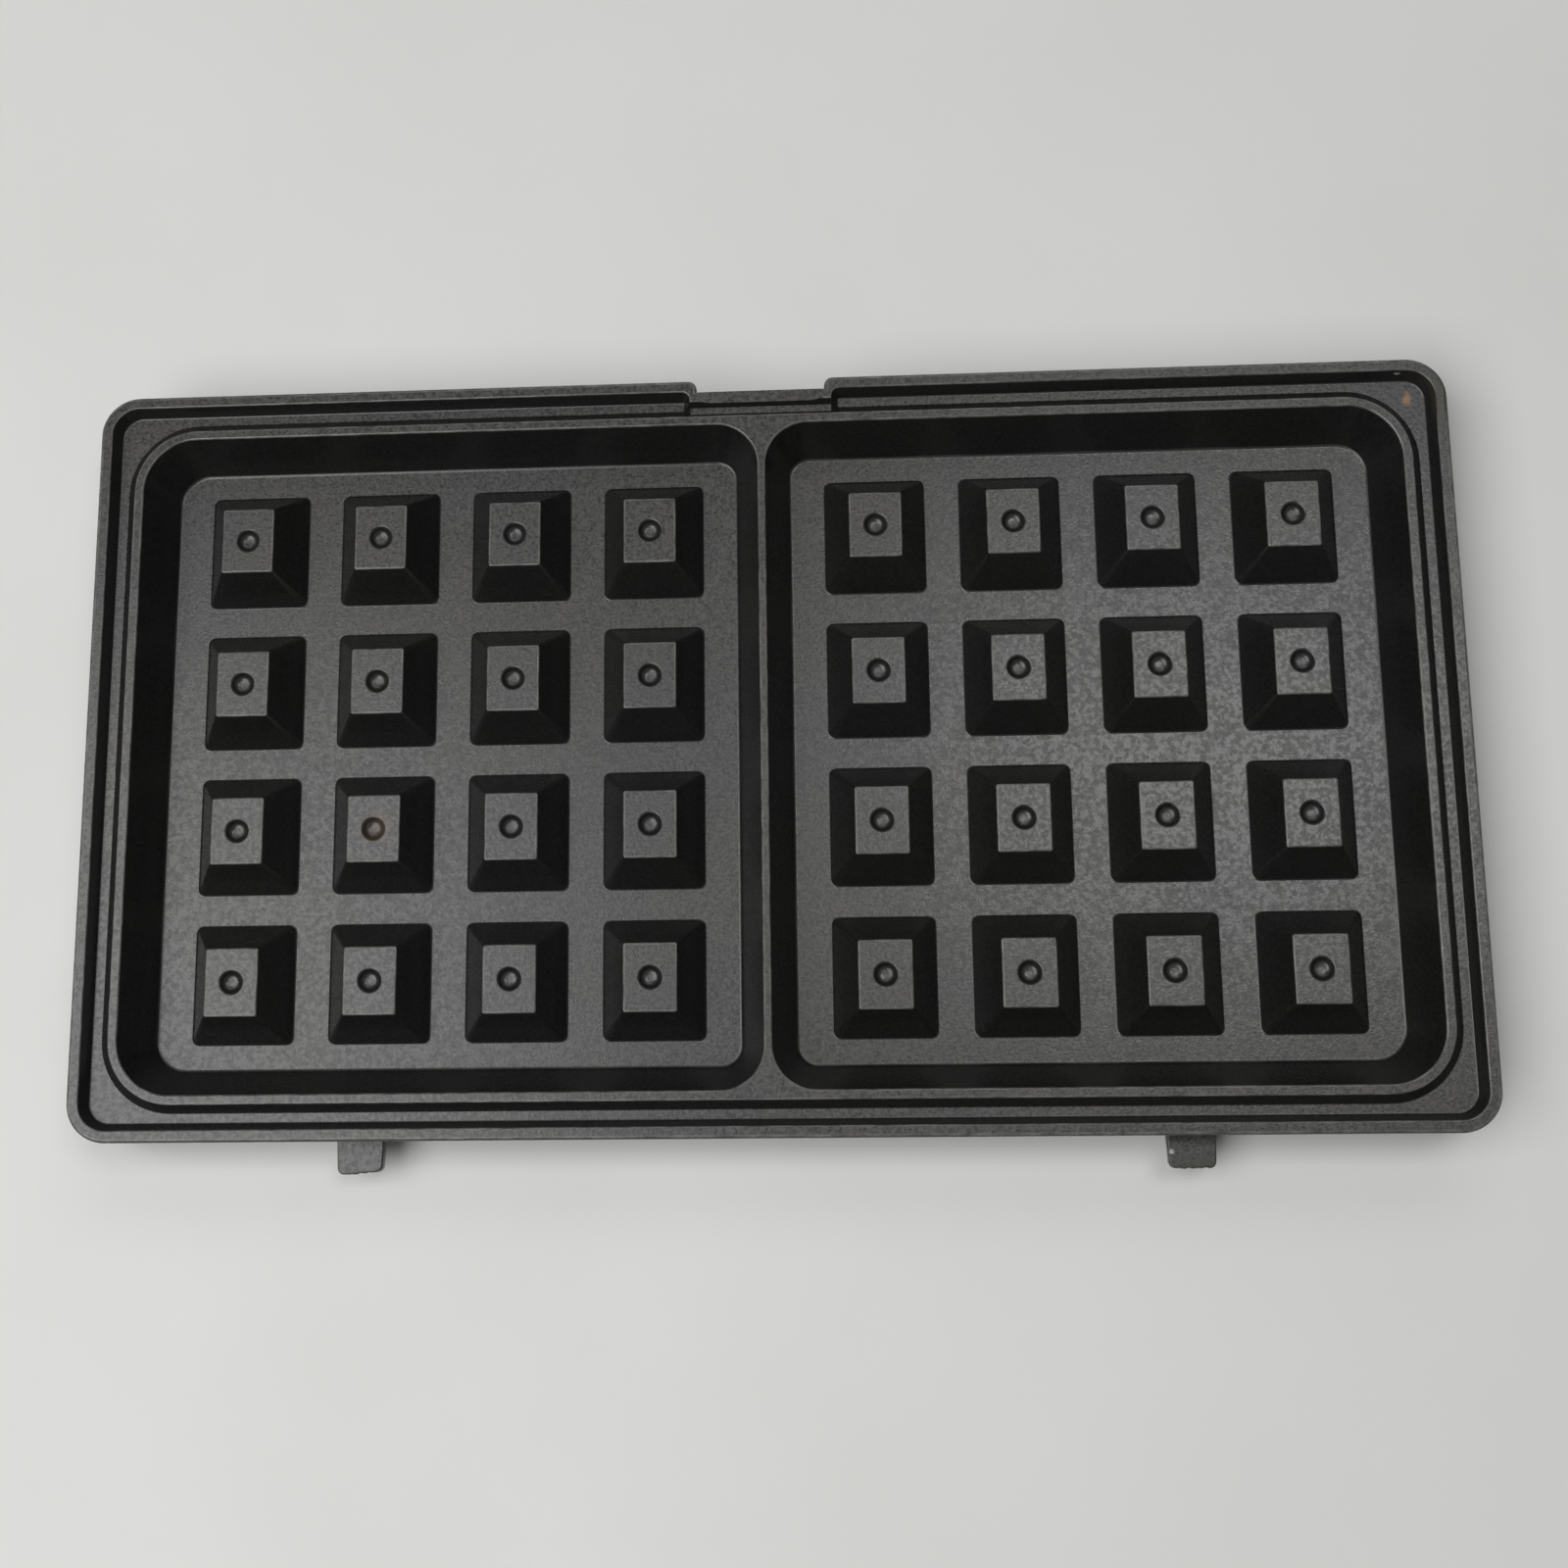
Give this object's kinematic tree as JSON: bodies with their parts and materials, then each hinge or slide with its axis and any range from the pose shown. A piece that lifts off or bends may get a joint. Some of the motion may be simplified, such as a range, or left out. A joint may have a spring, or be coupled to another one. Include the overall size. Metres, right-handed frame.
{
  "type": "snack maker waffle plate",
  "caption": "Removable cast waffle plate of a snack maker: two rectangular moulds of tapered, dimpled pegs, rib, gutter and rim, with two lugs and a latch catch.",
  "frame": {"origin": "middle of the footprint, lugs included, at the level that the plate stands on", "axes": "+X along the plate from the left mould to the right one, +Y from the lugs to the latch catch, +Z out of the moulds"},
  "size_m": [0.2294, 0.1328, 0.0152],
  "materials": {
    "coated_aluminium": "dark grey non-stick coating, satin and finely grained, on cast aluminium"
  },
  "bodies": {
    "root": {"waffle_plate": "coated_aluminium"}
  },
  "joints": []
}
